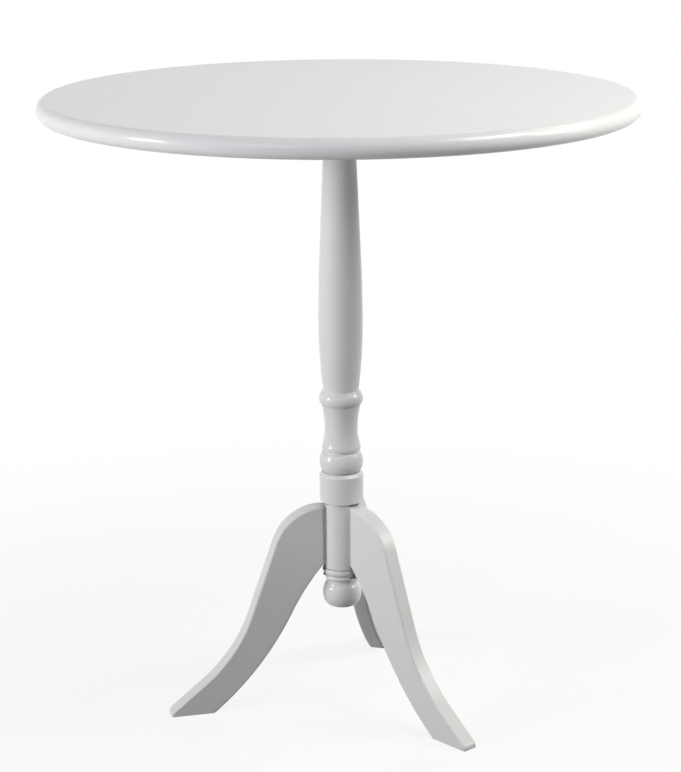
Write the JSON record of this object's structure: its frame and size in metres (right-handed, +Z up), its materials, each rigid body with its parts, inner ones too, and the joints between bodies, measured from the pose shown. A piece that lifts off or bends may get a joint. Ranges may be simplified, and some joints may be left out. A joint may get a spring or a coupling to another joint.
{
  "type": "wine table",
  "caption": "Round occasional table: a nosed top on a turned baluster column, carried by dovetailed sabre legs and finished below with a ball drop.",
  "frame": {"origin": "on the floor, under the axis of the column", "axes": "+Z up along the column's axis, +Y away from the pictured side, +X to the right of that view"},
  "size_m": [0.4999, 0.5, 0.54],
  "materials": {
    "white_paint": "satin white paint",
    "zinc_steel": "bright zinc plate"
  },
  "bodies": {
    "root": {"table_top": "white_paint", "bearer_block": "white_paint", "bearer_screws": "zinc_steel", "tee_nut": "zinc_steel", "top_stud": "zinc_steel", "column": "white_paint", "base_stud": "zinc_steel", "hub_insert": "zinc_steel", "leg_hub": "white_paint", "drop_finial": "white_paint", "finial_screw": "zinc_steel", "leg_back": "white_paint", "leg_left": "white_paint", "leg_right": "white_paint"}
  },
  "joints": []
}
